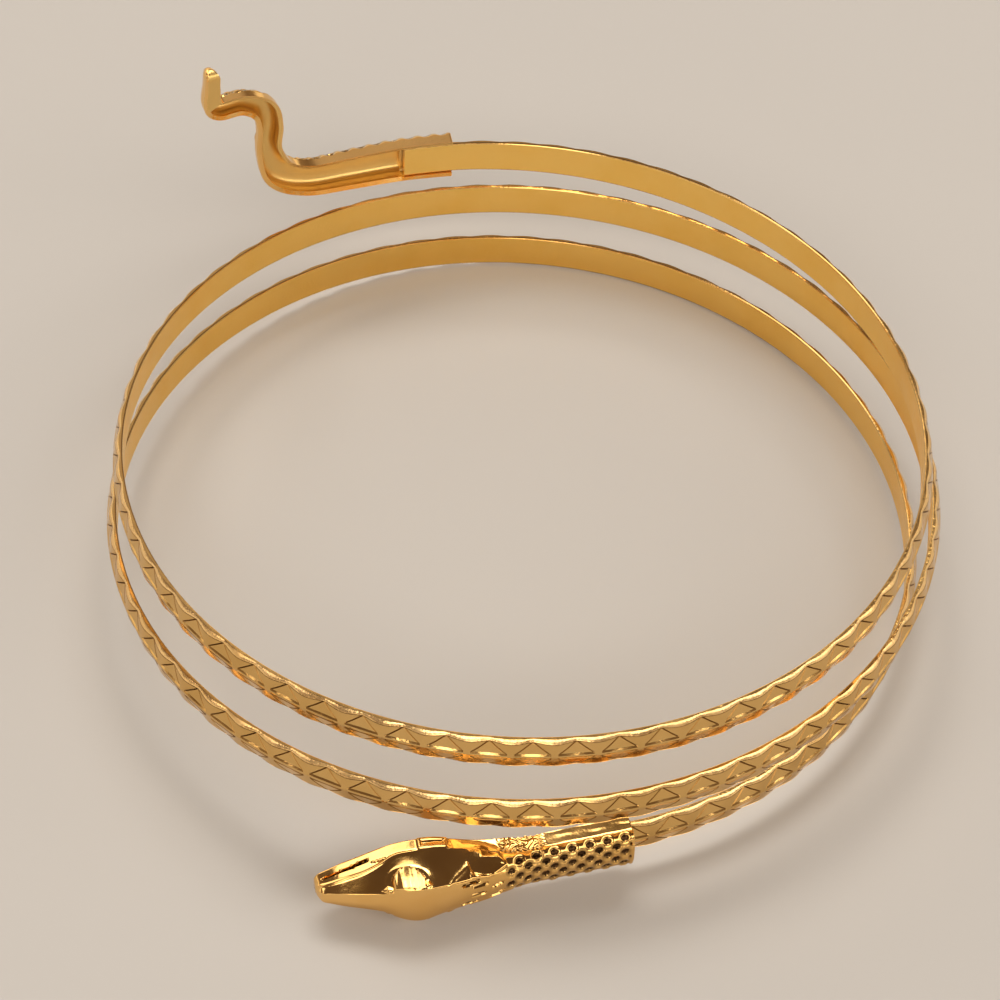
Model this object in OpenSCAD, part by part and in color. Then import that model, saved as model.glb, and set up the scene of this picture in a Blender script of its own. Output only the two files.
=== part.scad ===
// Coiled snake armlet: one stamped strip, wound a little more than two and a half turns, with a cast
// snake head crimped on its lower end and a cast hollow tail on its upper end. Millimetres, +Z up. The
// armlet lies as it does on a table, on the jaw of the head and the back of the lowest turn. The origin
// is on the table, below the middle of the whole piece.

/* [Strip] */
// Mean inside diameter of the coil
coil_d = 78; // [74:1:84]
// Width of the strip, up and down
strip_w = 3.6; // [3.4:0.05:3.65]
// Thickness of the strip at its crown
strip_t = 1.0; // [0.8:0.05:1.05]
// Thickness of the plain rim along both edges
rim_t = 0.5; // [0.4:0.01:0.55]
// Length of one scallop along the inside of the strip
scallop = 3.84; // [3.4:0.02:4.4]
// Depth of a scallop where two of them meet
scallop_min = 0.08; // [0.04:0.01:0.15]
// Depth of a scallop in its middle
scallop_max = 0.31; // [0.2:0.01:0.4]

/* [Castings] */
// Half height of both collars
collar_half = 2.25; // [2.2:0.05:2.5]
// Reach of both collars outside the inner face of the strip
collar_out = 2.35; // [2.2:0.05:2.5]
// How far the castings stand inside the inner face of the strip
collar_in = 0.25; // [0.1:0.05:0.4]
// Gap round the strip in its seats
seat_gap = 0.06; // [0.03:0.01:0.08]
// Length of the seat in the head
head_seat = 8.4; // [6:0.2:9]
// Length of the seat in the tail
tail_seat = 5.6; // [4:0.2:6]
// Wall of the hollow tail
tail_wall = 0.5; // [0.4:0.05:0.6]
// Radius that the tail is bent to
tail_bend = 88; // [60:1:120]
// Spacing of the honeycomb cells along a casting
cell = 1.66; // [1.5:0.02:1.7]
// Height of the honeycomb's ridges above its pits
cell_relief = 0.24; // [0.1:0.02:0.3]
// Radius of the eyes
eye_r = 1.45; // [1.2:0.05:1.5]

/* [Resting] */
// Lean of the coil to the back, in degrees
lean_back = -4.2; // [-5:0.1:-3]
// Lean of the coil to the side, in degrees
lean_side = -0.3; // [-1.5:0.1:0.5]

/* [Hidden] */

// The strip as it is wound. Each row: turn angle in degrees, control radius at the diameter ROWS_D,
// control height
ROWS_D = 78;
COIL = [
    [-180, 39.4, -3.1],
    [-90, 39.0, -1.2],
    [0, 38.1, 0.7],
    [90, 37.8, 3.1],
    [180, 39.3, 3.1],
    [270, 40.0, 4.7],
    [360, 39.8, 6.9],
    [450, 39.7, 8.5],
    [540, 38.3, 10.4],
    [630, 37.9, 11.3],
    [720, 38.4, 11.9],
    [810, 39.3, 14.6],
    [900, 39.5, 17.1],
    [990, 39.4, 19.6]
];
ROW_STEP = 90;
coil_start = -73; // where the strip leaves the head
coil_end = 822; // where it enters the tail
first_cusp = 0.1; // from the head, along the strip, to the first cusp between two scallops
rings_per_scallop = 3;

// The head behind its collar. Each row: distance from the collar's mouth, chin, lip edge, half width of
// the jaw, crown edge, half width of the crown, crown, swell between lip and crown
HEAD = [
    [9.3, -0.25, 1.25, 2.25, 2.25, 1.20, 2.45, 0.20],
    [10.8, -0.40, 1.20, 2.30, 2.45, 1.30, 2.70, 0.18],
    [13.0, -0.65, 0.80, 2.55, 2.65, 1.55, 2.95, 0.12],
    [14.9, -0.90, 0.10, 2.90, 2.72, 1.80, 3.15, 0.05],
    [16.8, -1.20, 0.00, 3.30, 2.95, 1.90, 3.35, 0.02],
    [18.5, -1.55, -0.30, 3.50, 3.05, 1.85, 3.45, 0.00],
    [20.2, -1.80, -0.50, 3.40, 3.05, 1.65, 3.35, 0.00],
    [21.9, -2.00, -0.70, 3.10, 2.65, 1.45, 2.90, 0.05],
    [23.4, -2.00, -0.20, 2.75, 2.15, 1.25, 2.35, 0.08],
    [24.9, -1.92, 0.35, 2.40, 1.60, 1.10, 1.80, 0.08],
    [26.6, -1.85, 0.30, 2.00, 1.00, 0.95, 1.20, 0.06],
    [27.9, -1.82, -0.05, 1.55, 0.45, 0.75, 0.55, 0.04],
    [28.7, -1.85, -0.70, 1.10, -0.25, 0.50, -0.15, 0.02],
    [29.1, -1.80, -1.25, 0.55, -0.95, 0.25, -0.90, 0.00]
];
rings_per_row = 4;
// Middle of the upper eye in the head: along, out, up. The lower eye mirrors it
EYE = [21.15, 1.95, 2.35];
brow_reach = 3.8; // the swelling round an eye
brow_rise = 1.35;

// The middle line of the tail. Each row: distance along the bent sheet, height, width, depth
TAIL = [
    [-5.0, 0.0, 4.5, 2.35],
    [0.6, 0.0, 4.5, 2.35],
    [6.0, 0.0, 4.4, 2.30],
    [11.3, -0.2, 4.2, 2.20],
    [15.6, -0.1, 3.9, 2.10],
    [18.7, 1.5, 3.5, 2.05],
    [19.9, 4.8, 2.6, 2.00],
    [19.8, 7.9, 2.6, 2.00],
    [20.4, 10.3, 2.7, 1.90],
    [22.5, 11.7, 2.4, 1.85],
    [24.6, 11.8, 2.3, 1.80],
    [25.8, 12.9, 1.8, 1.80],
    [25.9, 14.6, 1.3, 1.70],
    [25.8, 16.0, 1.2, 1.50],
    [25.7, 17.0, 0.7, 1.00],
    [25.6, 18.0, 0.1, 0.50]
];

// Splines through a table's rows: one that smooths them and one that meets each of them
function soft(a, b, c, d, f) =
    let (weight_b = 3 * f ^ 3 - 6 * f ^ 2 + 4, weight_c = -3 * f ^ 3 + 3 * f ^ 2 + 3 * f + 1)
    ((1 - f) ^ 3 * a + weight_b * b + weight_c * c + f ^ 3 * d) / 6;
function meet(a, b, c, d, f) =
    b + f / 2 * (c - a + f * (2 * a - 5 * b + 4 * c - d + f * (3 * (b - c) + d - a)));
function last_row(table) = len(table) - 1;
function at_row(table, x) =
    let (i = min(floor(x), last_row(table) - 1), f = x - i)
    meet(table[max(i - 1, 0)], table[i], table[i + 1], table[min(i + 2, last_row(table))], f);

// The inside of the strip at a turn angle: radius and height of its lower edge
function coil_row(angle) =
    let (x = (angle - COIL[0][0]) / ROW_STEP, i = floor(x))
    soft(COIL[i - 1], COIL[i], COIL[i + 1], COIL[i + 2], x - i);
function coil_r(angle) = coil_row(angle)[1] + (coil_d - ROWS_D) / 2;
function coil_z(angle) = coil_row(angle)[2];

// A point of the strip: out from its inner face, up from its middle line
function on_strip(angle, out, up) =
    let (r = coil_r(angle) + out)
    [r * cos(angle), r * sin(angle), coil_z(angle) + strip_w / 2 + up];

// A point of the head, whose casting runs straight on from the strip's lower end
head_angle = coil_start - 90;
fall_span = 16; // degrees before the strip's end that the head's slope is taken from
fall_arc = coil_r(coil_start) * fall_span * PI / 180;
head_fall = (coil_z(coil_start) - coil_z(coil_start - fall_span)) / fall_arc;
function in_head(along, out, up) =
    on_strip(coil_start, out, up) + along * [cos(head_angle), sin(head_angle), -head_fall];

// A point of the tail, which is bent to a wider circle that starts where the strip's upper end enters it
tail_hub = on_strip(coil_end, -tail_bend, 0);
function in_tail(along, out, up) =
    let (angle = coil_end + along / tail_bend * 180 / PI, r = tail_bend + out)
    [tail_hub.x + r * cos(angle), tail_hub.y + r * sin(angle), tail_hub.z + up];

// Section of the strip, in out and up. cut is the depth of the scallop there
function strip_section(cut) =
    let (h = strip_w / 2, foot = rim_t + cut)
    [[0, -h], [rim_t, -h], [foot, cut - h], [strip_t, 0], [foot, h - cut], [rim_t, h], [0, h]];

// Angles of the rings round the coil, a few to each scallop
function next_angle(angle) = angle + scallop / rings_per_scallop / coil_r(angle) * 180 / PI;
first_ring = next_angle(coil_start + first_cusp / coil_r(coil_start) * 180 / PI);
last_ring = coil_end - 0.6; // degrees
strip_rings = [for (a = first_ring, k = 1; a < last_ring; a = next_angle(a), k = k + 1) [a, k]];
function cut_at(k) = k % rings_per_scallop == 0 ? scallop_min : scallop_max;

band_rings = concat(
    [for (along = [head_seat, head_seat / 2, 0])
        [for (p = strip_section(scallop_max)) in_head(along, p.x, p.y)]],
    [for (ring = strip_rings)
        [for (p = strip_section(cut_at(ring[1]))) on_strip(ring[0], p.x, p.y)]],
    [for (along = [0, tail_seat])
        [for (p = strip_section(scallop_max)) in_tail(along, p.x, p.y)]]
);

// Outer side of a casting, from lip to lip over the crown. Each point: out, up
SIDE = 6; // points from lip to crown edge
CROWN = 2; // points from crown edge to crown
function half_side(lip, half, edge, edge_half, crown, swell) = concat(
    [for (i = [0:SIDE - 1])
        let (f = i / SIDE, lean = sin(180 * f) * swell)
        [lip + (edge - lip) * f + lean, half + (edge_half - half) * f + lean]],
    [for (i = [0:CROWN - 1])
        let (f = i / CROWN)
        [edge + (crown - edge) * sin(90 * f), edge_half * cos(90 * f)]]
);
function mirrored(points) = [for (i = [len(points) - 1:-1:0]) [points[i].x, -points[i].y]];
function side(lip, half, edge, edge_half, crown, swell) =
    let (upper = half_side(lip, half, edge, edge_half, crown, swell))
    concat(upper, [[crown, 0]], mirrored(upper));

// Honeycomb: the height of the ridges at ring k and point i, and none of it in the middle of a cell
function in_pit(k, i) = i % 2 == 0 && (k + i) % 4 == 0;
function lift(k, i, count) = i == 0 || i == count - 1 || in_pit(k, i) ? 0 : cell_relief;
function raised(points, k, amount) = [
    for (i = [0:len(points) - 1])
        let (n = len(points), p = points[i], q = points[min(i + 1, n - 1)] - points[max(i - 1, 0)])
        p + amount * lift(k, i, n) * [-q.y, q.x] / norm(q)
];

// A ring of a casting: its outer side, then the seat or hollow behind it
corner_share = 0.25; // cut off the hollow's two inner corners, as a share of its half width
function casting_section(points, inner, half, floor_out) =
    let (c = min(corner_share * half, (floor_out - inner) / 2))
    concat(
        [[inner, points[0].y]], points, [[inner, -points[0].y]],
        [[inner, -half], [floor_out - c, -half], [floor_out, c - half]],
        [[floor_out, half - c], [floor_out - c, half], [inner, half]]
    );
seat_half = strip_w / 2 + seat_gap;
seat_floor = strip_t + seat_gap;
closed_step = 0.05; // depth that is left of the hollow where a casting is solid
closed_floor = closed_step - collar_in;

// Triangles that close a casting's end: its outer points reach to the six points of the seat
outer_last = 2 * (SIDE + CROWN) + 2;
function across(i) =
    outer_last + 6 - (i == 0 ? 0 : i == outer_last ? 5 : 1 + floor(4 * (i - 1) / (outer_last - 1)));
casting_end = [
    for (i = [0:outer_last - 1])
        for (face = [[i, i + 1, across(i)], [i + 1, across(i + 1), across(i)]])
            if (face[1] != face[2]) face
];
strip_end = [for (i = [1:len(strip_section(0)) - 2]) [0, i, i + 1]];

// The head: honeycomb collar with the seat, then the rows of the table, solid
function head_side(row) = [
    for (p = side(row[2], row[3], row[4], row[5], row[6], row[7]))
        let (flat = [row[3] - row[5], row[4] - row[2]], square = flat / norm(flat), way = sign(p.y))
        let (toward = [row[0] - EYE.x, p.x - EYE.y, abs(p.y) - EYE.z])
        let (rise = toward.y * square.x + toward.z * square.y, off = sqrt(toward * toward - rise ^ 2))
        let (ball = off < eye_r ? sqrt(eye_r ^ 2 - off ^ 2) - rise : 0)
        let (brow = off < brow_reach ? brow_rise * (1 + cos(180 * off / brow_reach)) / 2 : 0)
        let (lift = max(0, ball, brow))
        [p.x + lift * square.x, p.y + way * lift * square.y]
];
collar_side = side(1.25, collar_half, collar_out - 0.15, 1.15, collar_out - cell_relief / 2, 0.2);
collar_rings = floor(HEAD[0][0] / cell * 4) - 1;
head_rings = concat(
    [for (k = [0:collar_rings])
        let (along = k * cell / 4, in_seat = along - cell / 4 <= head_seat)
        let (floor_out = in_seat ? seat_floor : closed_floor, half = in_seat ? seat_half : seat_half - 0.2)
        let (amount = k == 0 || k == collar_rings ? 0 : 1)
        [for (p = casting_section(raised(collar_side, k, amount), -collar_in, half, floor_out))
            in_head(along, p.x, p.y)]],
    [for (x = [0:1 / rings_per_row:last_row(HEAD)])
        let (row = at_row(HEAD, x), half = row[3] * 0.7)
        [for (p = casting_section(head_side(row), row[1], half, row[1] + closed_step))
            in_head(row[0], p.x, p.y)]]
);

// The tail: its rings stand square to the middle line
tail_first = 1; // rows of the table where the casting starts and ends
tail_last = last_row(TAIL) - 1;
hollow_end = 10.2; // row where the hollow ends
turn_reach = 0.5; // rows before and behind a ring that its direction is taken from
function tail_line(x) = let (row = at_row(TAIL, x)) [row[0], row[1]];
function next_row(x) =
    let (d = 0.02, step = norm(tail_line(x + d) - tail_line(x)))
    x + d * cell / 4 / step;
tail_rows = [for (x = tail_first, k = 0; x < tail_last; x = next_row(x), k = k + 1) [x, k]];
function tail_section(x, row, k) =
    let (half = row[2] / 2, depth = row[3], hollow = x < hollow_end)
    let (in_seat = row[0] < tail_seat + cell / 2, swell = 0.2 * half / collar_half)
    let (outer = side(depth - 1.1, half, depth - 0.15, half / 2, depth - cell_relief / 2, swell))
    let (open = in_seat ? seat_floor : hollow ? depth - tail_wall : closed_floor)
    let (inner_half = in_seat ? seat_half : half - tail_wall)
    casting_section(raised(outer, k, k == 0 || !hollow ? 0 : 1), -collar_in, inner_half, open);
tail_rings = [
    for (i = [len(tail_rows) - 1:-1:0])
        let (x = tail_rows[i][0], row = at_row(TAIL, x))
        let (d = tail_line(x + turn_reach) - tail_line(x - turn_reach), n = d / norm(d))
        [for (p = tail_section(x, row, tail_rows[i][1]))
            in_tail(row[0] - n.y * p.y, p.x, row[1] + n.x * p.y)]
];

// The whole piece as it leans, and its place on the table
function leaned(p) =
    let (y = p.y * cos(lean_back) - p.z * sin(lean_back))
    let (z = p.y * sin(lean_back) + p.z * cos(lean_back))
    [p.x * cos(lean_side) + z * sin(lean_side), y, z * cos(lean_side) - p.x * sin(lean_side)];
all_rings = concat(band_rings, head_rings, tail_rings);
all_points = [for (ring = all_rings) for (p = ring) leaned(p)];
xs = [for (p = all_points) p.x];
ys = [for (p = all_points) p.y];
zs = [for (p = all_points) p.z];
middle = [(min(xs) + max(xs)) / 2, (min(ys) + max(ys)) / 2, min(zs)];

module laid() {
    translate(-middle) rotate([lean_back, lean_side, 0]) children();
}

// A solid through a list of rings, each with as many points, and the triangles that close its ends
module skin(rings, end) {
    n = len(rings[0]);
    last = len(rings) - 1;
    points = [for (ring = rings) for (p = ring) p];
    walls = [for (k = [0:last - 1]) for (i = [0:n - 1])
        let (a = k * n + i, b = k * n + (i + 1) % n)
        for (face = [[a, b, a + n], [b, b + n, a + n]]) face];
    first_end = [for (face = end) [face[2], face[1], face[0]]];
    last_end = [for (face = end) [for (i = face) last * n + i]];
    polyhedron(points, concat(walls, first_end, last_end), convexity = 10);
}

module band() {
    color("gold") laid() skin(band_rings, strip_end);
}

module head() {
    color("goldenrod") laid() skin(head_rings, casting_end);
}

module tail() {
    color("darkgoldenrod") laid() skin(tail_rings, casting_end);
}

band();
head();
tail();
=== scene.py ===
import bpy
import math
import numpy as np
from mathutils import Matrix, Vector


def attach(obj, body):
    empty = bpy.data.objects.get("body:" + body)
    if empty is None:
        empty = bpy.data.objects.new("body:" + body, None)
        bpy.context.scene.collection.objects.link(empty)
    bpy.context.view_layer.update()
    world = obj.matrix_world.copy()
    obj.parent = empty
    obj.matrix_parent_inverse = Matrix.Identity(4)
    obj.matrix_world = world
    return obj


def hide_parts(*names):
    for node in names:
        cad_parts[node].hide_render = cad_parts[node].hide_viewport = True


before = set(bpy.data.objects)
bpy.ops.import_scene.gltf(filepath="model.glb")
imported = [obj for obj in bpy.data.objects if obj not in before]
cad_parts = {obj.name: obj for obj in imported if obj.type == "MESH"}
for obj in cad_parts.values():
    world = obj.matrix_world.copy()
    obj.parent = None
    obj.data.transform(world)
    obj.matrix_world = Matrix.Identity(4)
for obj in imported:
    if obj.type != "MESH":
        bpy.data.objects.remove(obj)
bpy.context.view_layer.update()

# The armlet is modelled in millimetres round the coil's own axis, +Z up, as the coil was wound. At the
# end each piece is leaned and laid on the table in metres.
PITCH = 3.84                 # one scallop along the strip
HALF_WIDE = 1.8              # half width of the strip
CROWN = 0.995                # thickness of the strip at its crown
RIM = 0.28, 0.42             # thickness of the plain rim at the cusps of the scallops and in their middle
FOOT = 0.46, 0.74            # how far out the foot of a scallop is, at its cusps and in its middle
DROP = 0.25, 0.40            # how far its foot is below the rim
HEAD_SEAT, TAIL_SEAT = 8.4, 5.6   # how far its ends reach into the castings
FIRST_CUSP = 0.1             # how far beyond the head's mouth the first free cusp stands
START, END = -73, 822        # turn angles where the strip leaves the head and enters the tail
TAIL_BEND = 88               # radius that the tail is bent to
LEAN_BACK, LEAN_SIDE = -4.2, -0.3   # lean of the coil on the table, in degrees
MIDDLE = (0.285, -2.425, -0.27)     # point of the leaned coil that is laid on the origin

# How the strip is wound: control radius and height of its inner lower edge, every quarter turn from
# -180 degrees
WOUND = [
    (39.4, -3.1), (39.0, -1.2), (38.1, 0.7), (37.8, 3.1), (39.3, 3.1), (40.0, 4.7), (39.8, 6.9),
    (39.7, 8.5), (38.3, 10.4), (37.9, 11.3), (38.4, 11.9), (39.3, 14.6), (39.5, 17.1), (39.4, 19.6),
]


# Hand tools

def let_go():
    """Leaves edit mode and deselects everything."""
    if bpy.context.object and bpy.context.object.mode != "OBJECT":
        bpy.ops.object.mode_set(mode="OBJECT")
    bpy.ops.object.select_all(action="DESELECT")


def take(piece):
    """Selects just one piece and makes it the active one."""
    let_go()
    bpy.context.view_layer.objects.active = piece
    piece.select_set(True)


def named(name):
    """Names the piece that was added last, and its mesh."""
    piece = bpy.context.object
    piece.name = name
    piece.data.name = name
    return piece


def pick(piece, kind, test):
    """In edit mode, selects just the vertices, edges or faces that pass the test."""
    bpy.ops.mesh.select_mode(type=kind)
    bpy.ops.mesh.select_all(action="DESELECT")
    bpy.ops.object.mode_set(mode="OBJECT")
    mesh = piece.data
    if kind == "VERT":
        for v in mesh.vertices:
            v.select = test(v.co)
    elif kind == "EDGE":
        for e in mesh.edges:
            e.select = all(test(mesh.vertices[i].co) for i in e.vertices)
    else:
        for f in mesh.polygons:
            f.select = test(f.center, f.normal)
    bpy.ops.object.mode_set(mode="EDIT")


def cut(point, normal, clear=False, fill=False):
    """Cuts what is selected with a plane."""
    bpy.ops.mesh.bisect(plane_co=point, plane_no=normal, threshold=1e-4, clear_outer=clear, use_fill=fill)


def put(piece, place):
    """Puts each selected vertex where place says."""
    bpy.ops.object.mode_set(mode="OBJECT")
    for v in piece.data.vertices:
        if v.select:
            v.co = place(v.co)
    bpy.ops.object.mode_set(mode="EDIT")


def finish_with(piece, kind, **settings):
    """Adds a modifier to a piece and applies it."""
    take(piece)
    step = piece.modifiers.new(kind.lower(), kind)
    for name, value in settings.items():
        setattr(step, name, value)
    bpy.ops.object.modifier_apply(modifier=step.name)


def lay_down(piece):
    """Leans a piece as the whole armlet leans and sets it on the table, in metres."""
    take(piece)
    lean = Matrix.Rotation(math.radians(LEAN_SIDE), 4, "Y") @ Matrix.Rotation(math.radians(LEAN_BACK), 4, "X")
    piece.matrix_world = Matrix.Scale(0.001, 4) @ Matrix.Translation([-c for c in MIDDLE]) @ lean
    bpy.ops.object.transform_apply(location=True, rotation=True, scale=True)


# The way the strip runs

def wound(angle):
    """Radius and height of the strip at a turn angle: the table, smoothed by a cubic B-spline."""
    x = (angle + 180) / 90
    i = int(math.floor(x))
    f = x - i
    share = (
        (1 - f) ** 3 / 6,
        (3 * f ** 3 - 6 * f ** 2 + 4) / 6,
        (-3 * f ** 3 + 3 * f ** 2 + 3 * f + 1) / 6,
        f ** 3 / 6,
    )
    return [sum(share[j] * WOUND[i - 1 + j][k] for j in range(4)) for k in (0, 1)]


def on_strip(angle, out, up):
    """A point of the strip: out from its inner face, up from its middle line."""
    r, z = wound(angle)
    a = math.radians(angle)
    return ((r + out) * math.cos(a), (r + out) * math.sin(a), z + HALF_WIDE + up)


FALL = (wound(START)[1] - wound(START - 16)[1]) / (wound(START)[0] * math.radians(16))
HEADING = math.radians(START - 90)
TAIL_HUB = on_strip(END, -TAIL_BEND, 0)


def in_head(along, out, up):
    """A point of the head, which runs straight on from the strip's lower end."""
    x, y, z = on_strip(START, out, up)
    return (x + along * math.cos(HEADING), y + along * math.sin(HEADING), z - along * FALL)


def in_tail(along, out, up):
    """A point of the tail, which is bent to a wider circle than the strip."""
    a = math.radians(END) + along / TAIL_BEND
    r = TAIL_BEND + out
    return (TAIL_HUB[0] + r * math.cos(a), TAIL_HUB[1] + r * math.sin(a), TAIL_HUB[2] + up)


def strip_route():
    """A curve along the middle of the strip's inner face, from its end in the head to its end in the tail."""
    stops = [in_head(HEAD_SEAT * (1 - i / 10), 0, 0) for i in range(10)]
    stops += [on_strip(START + i / 2, 0, 0) for i in range(2 * (END - START) + 1)]
    stops += [in_tail(TAIL_SEAT * i / 14, 0, 0) for i in range(1, 15)]
    line = bpy.data.curves.new("strip_route", "CURVE")
    line.dimensions = "3D"
    line.twist_mode = "Z_UP"
    spline = line.splines.new("POLY")
    spline.points.add(len(stops) - 1)
    for point, stop in zip(spline.points, stops):
        point.co = (*stop, 1)
    route = bpy.data.objects.new("strip_route", line)
    bpy.context.collection.objects.link(route)
    length = sum(math.dist(a, b) for a, b in zip(stops, stops[1:]))
    return route, length


# Gold

DRIFT, POLISH = 160, 420                # how fine the drift of the colour and of the polish is
PAINTED_SHADE_TINT = (0.06, 0.03, 0.012)       # painted shade: near-black brown where a point lies in shade
HOLLOW_LIGHT_TINT = (0.80, 0.54, 0.19)        # painted light: a paler tint in the tail's hollow, against the orange light bounced round it
HOLLOW_DULL = 0.28                      # how much rougher it is there
GRAIN_DEEP = 0.00005


def gold(name, colour, dark, rough, rough_spread, grain, bump):
    """Plated gold: a colour that drifts to a darker one, a drifting polish and a fine grain, with painted
    shade and a paler painted light mixed in where the points' attributes say.
    """
    finish = bpy.data.materials.new(name)
    finish.use_nodes = True
    nodes, links = finish.node_tree.nodes, finish.node_tree.links
    shader = nodes["Principled BSDF"]
    shader.inputs["Metallic"].default_value = 1.0
    shader.inputs["Specular IOR Level"].default_value = 0.5
    place = nodes.new("ShaderNodeTexCoord").outputs["Object"]

    def noise(scale, detail):
        clouds = nodes.new("ShaderNodeTexNoise")
        clouds.inputs["Scale"].default_value = scale
        clouds.inputs["Detail"].default_value = detail
        links.new(place, clouds.inputs["Vector"])
        return clouds.outputs["Fac"]

    def stretched(value, low, high, to_low, to_high):
        stretch = nodes.new("ShaderNodeMapRange")
        stretch.inputs["From Min"].default_value = low
        stretch.inputs["From Max"].default_value = high
        stretch.inputs["To Min"].default_value = to_low
        stretch.inputs["To Max"].default_value = to_high
        links.new(value, stretch.inputs["Value"])
        return stretch.outputs["Result"]

    def shade_of(kind):
        shade = nodes.new("ShaderNodeAttribute")
        shade.attribute_name = kind
        return shade.outputs["Fac"]

    def towards(share, second):
        mix = nodes.new("ShaderNodeMix")
        mix.data_type = "RGBA"
        mix.inputs["B"].default_value = (*second, 1)
        links.new(share, mix.inputs["Factor"])
        return mix

    tint = towards(stretched(noise(DRIFT, 4), 0.45, 0.8, 0, 1), dark)
    tint.inputs["A"].default_value = (*colour, 1)
    # painted light: a paler tint in the hollow, against the orange light bounced round it
    paler = towards(shade_of("hollow"), HOLLOW_LIGHT_TINT)
    links.new(tint.outputs["Result"], paler.inputs["A"])
    # painted shade: the colour turns near black as far as the point attribute says
    shaded = towards(shade_of("recess"), PAINTED_SHADE_TINT)
    links.new(paler.outputs["Result"], shaded.inputs["A"])
    links.new(shaded.outputs["Result"], shader.inputs["Base Color"])
    duller = nodes.new("ShaderNodeMath")
    duller.operation = "MULTIPLY_ADD"
    duller.inputs[1].default_value = HOLLOW_DULL
    links.new(shade_of("hollow"), duller.inputs[0])
    links.new(stretched(noise(POLISH, 3), 0.3, 0.7, rough, rough + rough_spread), duller.inputs[2])
    links.new(duller.outputs["Value"], shader.inputs["Roughness"])
    relief = nodes.new("ShaderNodeBump")
    relief.inputs["Strength"].default_value = bump
    relief.inputs["Distance"].default_value = GRAIN_DEEP
    links.new(noise(grain, 2), relief.inputs["Height"])
    links.new(relief.outputs["Normal"], shader.inputs["Normal"])
    return finish


PLATED = gold("polished_strip_gold", (0.76, 0.475, 0.17), (0.68, 0.40, 0.12), 0.08, 0.07, 2600, 0.25)
# lighter than the plated gold: a painted highlight on the stamped scallops, which are also rougher
STAMPED_HIGHLIT = gold("stamped_bevel_highlight_gold", (0.98, 0.66, 0.30), (0.92, 0.57, 0.21), 0.20, 0.12, 3000, 0.6)
# dark brown: painted shade in the engraved lines and along the foot of the scallops
ENGRAVED_SHADE = gold("engraved_line_shade_gold", (0.30, 0.15, 0.04), (0.18, 0.09, 0.025), 0.25, 0.15, 2600, 0.25)
# brighter than the plated gold: painted light on the satin inner face
SATIN_LIT = gold("satin_inside_lit_gold", (1.0, 0.64, 0.17), (0.96, 0.58, 0.12), 0.28, 0.12, 3200, 0.5)
CAST = gold("polished_cast_gold", (0.90, 0.55, 0.19), (0.82, 0.47, 0.13), 0.07, 0.07, 1800, 0.2)


# The strip

HALF_PITCH = PITCH / 2
STATIONS = 6                 # steps round the bend in half a scallop
# Engraved line along the foot of each triangle: its lower edge, its bottom, its upper edge
LINE_LOW, LINE_AT, LINE_TOP = 0.14, 0.32, 0.39
SLANT_HALF = 0.07            # engraved lines along its two slanting sides
CORNER_X, TOP_X, TOP_AT = 1.54, 0.16, 1.45
LINE_DEEP, SLANT_DEEP = 0.10, 0.10
FOOT_LINE = 0.05             # engraved line along the foot of the scallops
NEAR_CORNER = 0.4            # reach of the cut across the corner of the engraved lines
EDGE_ROWS = 10               # rows drawn out from the plate's top edge


def scalloped(pair, x):
    """From a pair's first value at the cusps to its second in the middle of a scallop."""
    f = ((1 - math.cos(math.pi * min(abs(x) / HALF_PITCH, 1))) / 2) ** 0.7
    return pair[0] + (pair[1] - pair[0]) * f


def roof_out(x, z):
    """Height of the low roof, from the crown line to the foot of the scallops."""
    return CROWN - (CROWN - scalloped(FOOT, x)) * z / (HALF_WIDE - scalloped(DROP, x))


def engraved(x, z):
    along = Vector((TOP_X - CORNER_X, TOP_AT - LINE_AT)).normalized()
    off = abs((x - CORNER_X) * along.y - (z - LINE_AT) * along.x)
    if off < 1e-3 and z > LINE_AT + 0.05:
        return SLANT_DEEP
    return LINE_DEEP if abs(z - LINE_AT) < 1e-3 and x < CORNER_X + 1e-3 else 0


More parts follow.
